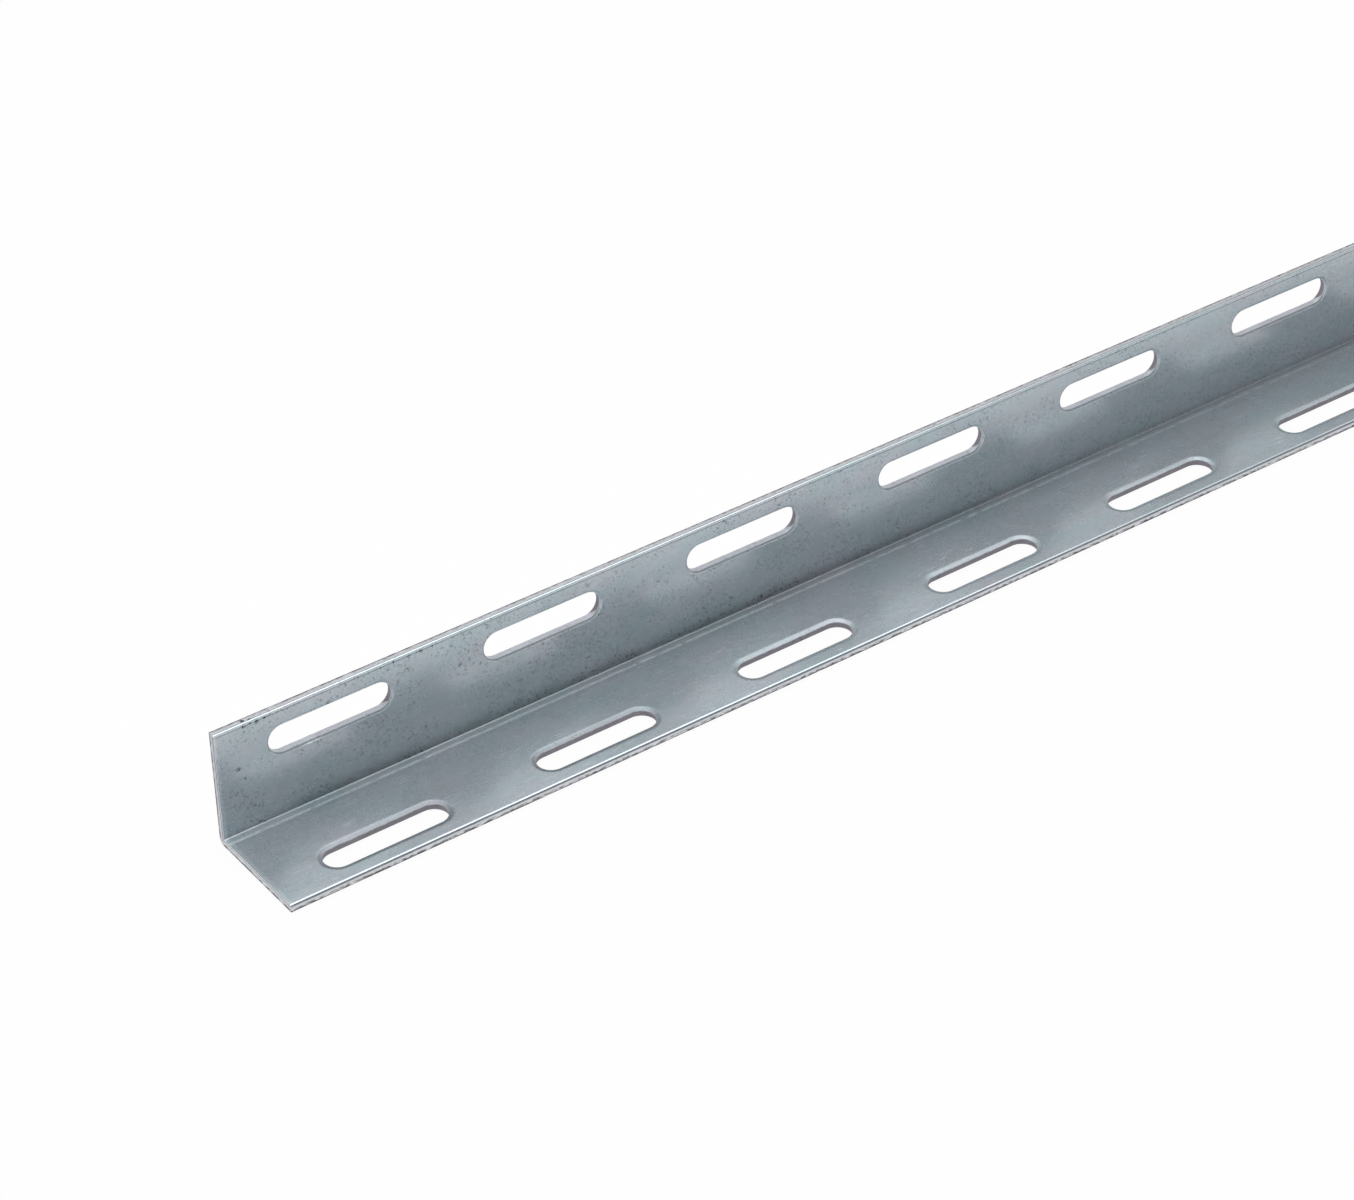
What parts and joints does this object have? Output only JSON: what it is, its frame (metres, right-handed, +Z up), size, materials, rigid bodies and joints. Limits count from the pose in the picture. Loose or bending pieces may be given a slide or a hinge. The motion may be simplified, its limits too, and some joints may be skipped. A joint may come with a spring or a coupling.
{
  "type": "slotted angle",
  "caption": "Length of galvanised steel equal angle, bent from strip, with a row of lengthwise slots along the middle of each leg for bolting frames together.",
  "frame": {"origin": "middle of the stock's length and width, on the floor under the base leg", "axes": "+X along the stock, away from the near end of the picture; -Y towards the free edge of the leg that lies flat; +Y outer face of the upright leg; +Z up"},
  "size_m": [1, 0.027, 0.027],
  "materials": {
    "galvanised_steel": "pre-galvanised strip, matt blue-grey zinc with cloudy mottling, fine dark specks and light scuffs; the sheared edges and punched walls are bare, lighter or darker cut metal"
  },
  "bodies": {
    "root": {"slotted_angle": "galvanised_steel"}
  },
  "joints": []
}
